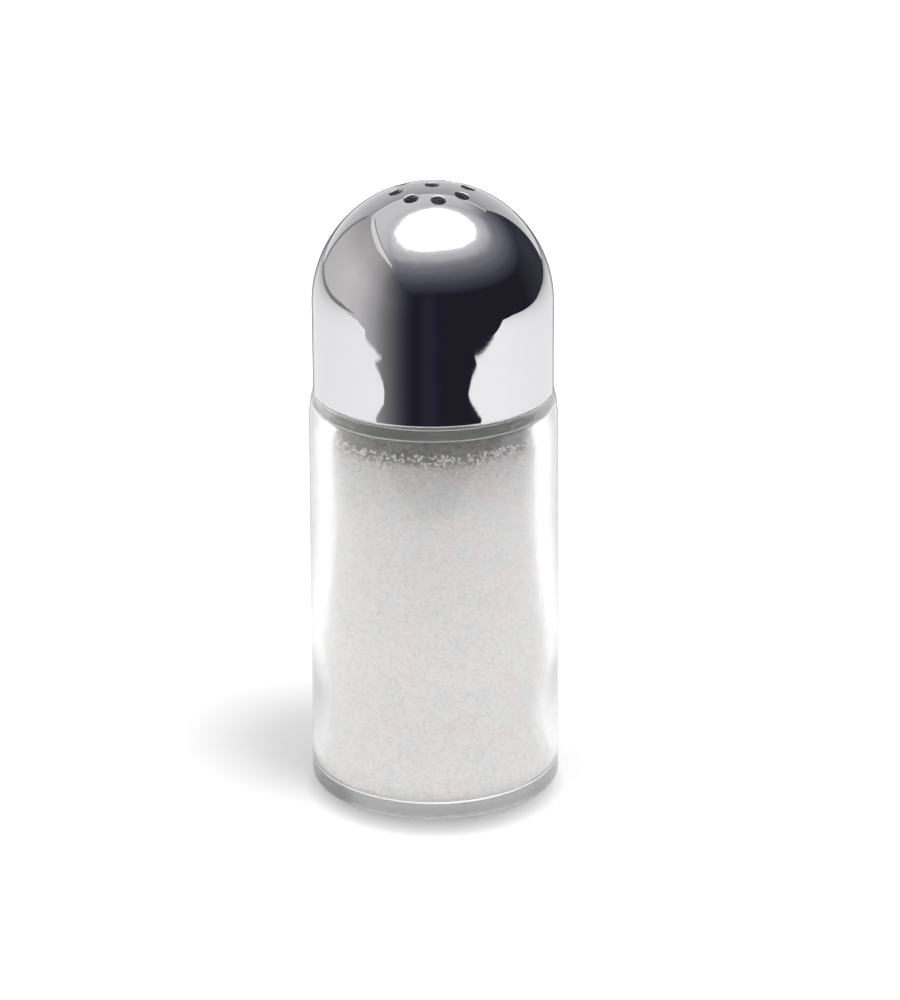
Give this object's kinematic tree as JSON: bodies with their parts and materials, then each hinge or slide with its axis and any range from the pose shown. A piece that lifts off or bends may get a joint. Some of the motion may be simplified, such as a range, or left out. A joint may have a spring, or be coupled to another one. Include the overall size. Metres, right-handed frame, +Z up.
{
  "type": "table shaker",
  "caption": "Clear glass table shaker filled with white salt, closed by a mirror-polished steel dome with pouring holes that screws onto the neck.",
  "frame": {"origin": "centre of the foot of the jar, on the surface that it stands on", "axes": "+Z up along the axis of the jar; the front, with two holes either side of it, is -Y"},
  "size_m": [0.0408, 0.0408, 0.1008],
  "materials": {
    "clear_glass": "fire-polished clear soda-lime glass",
    "salt": "fine white grains",
    "seal": "soft matt",
    "insert": "moulded satin",
    "polished_steel": "mirror polish"
  },
  "bodies": {
    "jar": {"glass_jar": "clear_glass", "salt_fill": "salt"},
    "seal": {"seal_ring": "seal"},
    "cap": {"threaded_insert": "insert", "dome_cap": "polished_steel"}
  },
  "joints": [
    {"name": "cap_rise", "type": "slide", "parent": "jar", "child": "seal", "axis": [0, 0, 1], "range_m": [0, 0.01163]},
    {"name": "cap_turn", "type": "hinge", "parent": "seal", "child": "cap", "pos_m": [0, 0, 0.0672], "axis": [0, 0, 1], "range_deg": [0, 990]}
  ],
  "couplings": [
    {"joint": "cap_rise", "follows": "cap_turn", "m_per_rad": 0.00067323}
  ]
}
